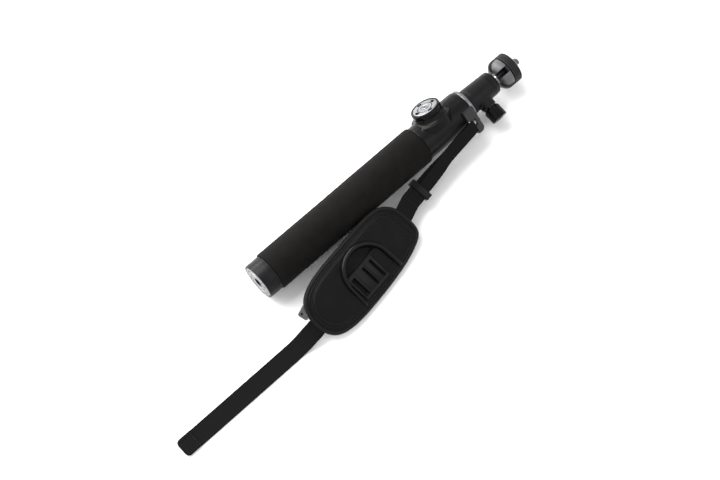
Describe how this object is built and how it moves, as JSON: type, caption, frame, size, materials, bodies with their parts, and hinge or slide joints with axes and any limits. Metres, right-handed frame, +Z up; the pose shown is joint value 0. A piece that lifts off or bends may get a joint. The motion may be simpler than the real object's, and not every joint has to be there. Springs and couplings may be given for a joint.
{
  "type": "selfie stick",
  "caption": "Telescopic selfie stick with foam grip, side lock knob, ball head with camera stud, tripod socket in the butt, and padded wrist strap on a lug.",
  "frame": {"origin": "centre of the tripod socket's mouth in the butt face, on the pole's axis", "axes": "+X along the pole towards the camera stud, +Z up from the surface that the grip and strap lie on"},
  "size_m": [0.4032, 0.0975, 0.0404],
  "materials": {
    "foam": "closed-cell foam, matte",
    "dark_satin_plastic": "fine satin, dark grey",
    "black_gloss_plastic": "moulded, glossy black",
    "grey_plastic": "satin mid grey",
    "black_satin_metal": "black satin coat on die-cast metal",
    "silver_plate": "turned and bead-blasted, satin",
    "chrome": "polished plating",
    "tube_alloy": "drawn tube, anodised natural",
    "brass": "machined",
    "acetal": "moulded, natural",
    "black_rubber": "moulded, matte",
    "webbing": "woven nylon, black",
    "pad_fabric": "synthetic leather over foam, black",
    "binding": "bound and piped edge, black",
    "tab_fabric": "folded grey tape"
  },
  "bodies": {
    "handle": {"handle_tube": "tube_alloy", "foam_grip": "foam", "butt_cap": "dark_satin_plastic", "butt_plate": "silver_plate", "tripod_insert": "brass", "end_bumper": "black_rubber", "neck_housing": "dark_satin_plastic", "neck_ring": "chrome", "neck_bush": "acetal", "strap_lug": "grey_plastic", "lock_bush": "brass"},
    "shoe": {"brake_shoe": "acetal"},
    "lock_knob": {"knob_cap": "black_gloss_plastic", "dial_plate": "silver_plate", "dial_screw": "chrome", "lock_shaft": "chrome"},
    "stage1": {"stage1_tube": "tube_alloy", "stage1_plug": "acetal", "stage1_bush": "black_gloss_plastic"},
    "stage2": {"stage2_tube": "tube_alloy", "stage2_plug": "acetal", "stage2_bush": "black_gloss_plastic"},
    "stage3": {"stage3_tube": "tube_alloy", "stage3_plug": "acetal", "head_housing": "black_satin_metal", "head_collar": "black_satin_metal", "thumb_insert": "brass"},
    "clamp": {"clamp_pad": "brass"},
    "thumb": {"thumb_knob": "black_gloss_plastic", "thumb_shaft": "chrome"},
    "seat": {"ball_seat": "acetal"},
    "ball_body": {"ball": "chrome"},
    "stud": {"camera_stud": "chrome"},
    "platform": {"platform_disc": "black_gloss_plastic", "platform_pad": "black_rubber", "seat_plate": "silver_plate"},
    "wheel": {"lock_wheel": "grey_plastic", "wheel_nut": "brass"},
    "strap": {"strap_loop": "webbing", "strap_upper": "webbing", "pad_body": "pad_fabric", "pad_binding": "binding", "arch_rim": "black_rubber", "ladder_buckle": "black_gloss_plastic", "rear_tab": "tab_fabric", "strap_tail": "webbing", "tail_hem": "webbing"},
    "glide": {"tri_glide": "black_gloss_plastic"}
  },
  "joints": [
    {"name": "shoe_slide", "type": "slide", "parent": "handle", "child": "shoe", "axis": [0, 0.6947, 0.7193], "range_m": [0, 0.00075]},
    {"name": "lock_turn", "type": "hinge", "parent": "shoe", "child": "lock_knob", "pos_m": [0.1885, 0, 0], "axis": [0, 0.6947, 0.7193], "range_deg": [0, 270.5]},
    {"name": "stage1_slide", "type": "slide", "parent": "handle", "child": "stage1", "axis": [1, 0, 0], "range_m": [0, 0.15]},
    {"name": "stage2_slide", "type": "slide", "parent": "stage1", "child": "stage2", "axis": [1, 0, 0], "range_m": [0, 0.15]},
    {"name": "stage3_slide", "type": "slide", "parent": "stage2", "child": "stage3", "axis": [1, 0, 0], "range_m": [0, 0.15]},
    {"name": "clamp_slide", "type": "slide", "parent": "stage3", "child": "clamp", "axis": [0, -0.9848, -0.1736], "range_m": [0, 0.0004]},
    {"name": "thumb_turn", "type": "hinge", "parent": "clamp", "child": "thumb", "pos_m": [0.2328, 0, 0], "axis": [0, -0.9848, -0.1736], "range_deg": [0, 180.5]},
    {"name": "head_pan", "type": "hinge", "parent": "stage3", "child": "seat", "pos_m": [0.245, 0, 0], "axis": [1, 0, 0], "continuous": true},
    {"name": "head_tilt", "type": "hinge", "parent": "seat", "child": "ball_body", "pos_m": [0.245, 0, 0], "axis": [0, 1, 0], "range_deg": [-21, 21]},
    {"name": "stud_spin", "type": "hinge", "parent": "ball_body", "child": "stud", "pos_m": [0.245, 0, 0], "axis": [1, 0, 0], "continuous": true},
    {"name": "platform_slide", "type": "slide", "parent": "stud", "child": "platform", "axis": [1, 0, 0], "range_m": [-0.000635, 0]},
    {"name": "wheel_turn", "type": "hinge", "parent": "platform", "child": "wheel", "pos_m": [0.258, 0, 0], "axis": [1, 0, 0], "range_deg": [-180.5, 0]},
    {"name": "strap_swing", "type": "hinge", "parent": "handle", "child": "strap", "pos_m": [0.208, -0.01948, 0.0049], "axis": [0, 0.7593, 0.6508], "range_deg": [0, 110]},
    {"name": "glide_slide", "type": "slide", "parent": "strap", "child": "glide", "axis": [0.9855, 0.1403, 0.0958], "range_m": [0, 0.008]}
  ],
  "couplings": [
    {"joint": "lock_turn", "follows": "shoe_slide", "rad_per_m": 6283.2},
    {"joint": "thumb_turn", "follows": "clamp_slide", "rad_per_m": 7854},
    {"joint": "wheel_turn", "follows": "platform_slide", "rad_per_m": 4947.4}
  ]
}
